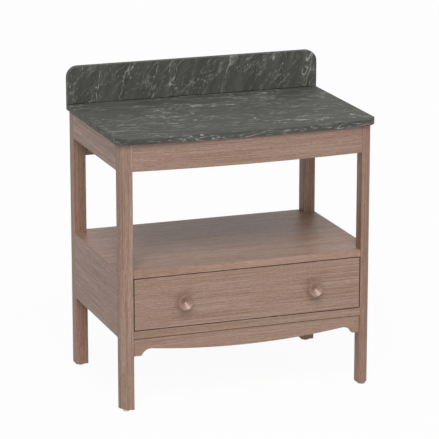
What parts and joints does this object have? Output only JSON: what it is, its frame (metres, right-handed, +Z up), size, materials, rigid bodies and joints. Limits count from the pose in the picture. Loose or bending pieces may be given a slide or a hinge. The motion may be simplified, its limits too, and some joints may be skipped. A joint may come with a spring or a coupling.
{
  "type": "vanity unit",
  "caption": "Bow-fronted bathroom vanity stand: stone top with upstand on timber legs, open shelf, full-width drawer with dished round knobs, shaped apron.",
  "frame": {"origin": "bottom centre of the box that holds the whole unit, on the floor", "axes": "+Z up, -Y towards the person who opens the drawer, +X to the right seen from the front"},
  "size_m": [0.839, 0.552, 0.978],
  "materials": {
    "dark_timber": "satin lacquer",
    "pale_timber": "planed and sealed",
    "plywood": "sanded",
    "stone": "honed",
    "steel": "zinc plated",
    "nylon": "moulded",
    "rubber": "moulded"
  },
  "bodies": {
    "stand": {"apron_glue_blocks": "pale_timber", "back_panel": "plywood", "back_panel_screws": "steel", "backsplash": "stone", "batten_screws": "steel", "bottom_apron": "dark_timber", "case_dowels": "pale_timber", "case_floor": "dark_timber", "corner_blocks": "pale_timber", "corner_bolts": "steel", "corner_nuts": "steel", "countertop": "stone", "drawer_stops": "rubber", "foot_glides": "nylon", "glide_nails": "steel", "leg_front_left": "dark_timber", "leg_front_right": "dark_timber", "leg_rear_left": "dark_timber", "leg_rear_right": "dark_timber", "rail_dowels": "pale_timber", "runner_batten_left": "pale_timber", "runner_batten_right": "pale_timber", "runner_case_screws": "steel", "runner_outer_left": "steel", "runner_outer_right": "steel", "shelf": "dark_timber", "side_panel_left": "dark_timber", "side_panel_right": "dark_timber", "top_rail_front": "dark_timber", "top_rail_left": "dark_timber", "top_rail_rear": "dark_timber", "top_rail_right": "dark_timber"},
    "drawer": {"drawer_back": "pale_timber", "drawer_bottom": "plywood", "drawer_box_front": "pale_timber", "drawer_front": "dark_timber", "drawer_front_screws": "steel", "drawer_pins": "pale_timber", "drawer_side_left": "pale_timber", "drawer_side_right": "pale_timber", "knob_left": "dark_timber", "knob_right": "dark_timber", "knob_screws": "steel", "runner_drawer_screws": "steel", "runner_inner_left": "steel", "runner_inner_right": "steel"},
    "runner_middle_left": {"runner_middle_left": "steel"},
    "runner_middle_right": {"runner_middle_right": "steel"},
    "ball_cage_outer_left": {"ball_cage_outer_left": "steel"},
    "ball_cage_outer_right": {"ball_cage_outer_right": "steel"},
    "ball_cage_inner_left": {"ball_cage_inner_left": "steel"},
    "ball_cage_inner_right": {"ball_cage_inner_right": "steel"}
  },
  "joints": [
    {"name": "drawer_slide", "type": "slide", "parent": "stand", "child": "drawer", "axis": [0, -1, 0], "range_m": [0, 0.4]},
    {"name": "runner_middle_left_slide", "type": "slide", "parent": "stand", "child": "runner_middle_left", "axis": [0, -1, 0], "range_m": [0, 0.2]},
    {"name": "runner_middle_right_slide", "type": "slide", "parent": "stand", "child": "runner_middle_right", "axis": [0, -1, 0], "range_m": [0, 0.2]},
    {"name": "ball_cage_outer_left_slide", "type": "slide", "parent": "stand", "child": "ball_cage_outer_left", "axis": [0, -1, 0], "range_m": [0, 0.1]},
    {"name": "ball_cage_outer_right_slide", "type": "slide", "parent": "stand", "child": "ball_cage_outer_right", "axis": [0, -1, 0], "range_m": [0, 0.1]},
    {"name": "ball_cage_inner_left_slide", "type": "slide", "parent": "stand", "child": "ball_cage_inner_left", "axis": [0, -1, 0], "range_m": [0, 0.3]},
    {"name": "ball_cage_inner_right_slide", "type": "slide", "parent": "stand", "child": "ball_cage_inner_right", "axis": [0, -1, 0], "range_m": [0, 0.3]}
  ],
  "couplings": [
    {"joint": "runner_middle_left_slide", "follows": "drawer_slide", "ratio": 0.5},
    {"joint": "runner_middle_right_slide", "follows": "drawer_slide", "ratio": 0.5},
    {"joint": "ball_cage_outer_left_slide", "follows": "drawer_slide", "ratio": 0.25},
    {"joint": "ball_cage_outer_right_slide", "follows": "drawer_slide", "ratio": 0.25},
    {"joint": "ball_cage_inner_left_slide", "follows": "drawer_slide", "ratio": 0.75},
    {"joint": "ball_cage_inner_right_slide", "follows": "drawer_slide", "ratio": 0.75}
  ]
}
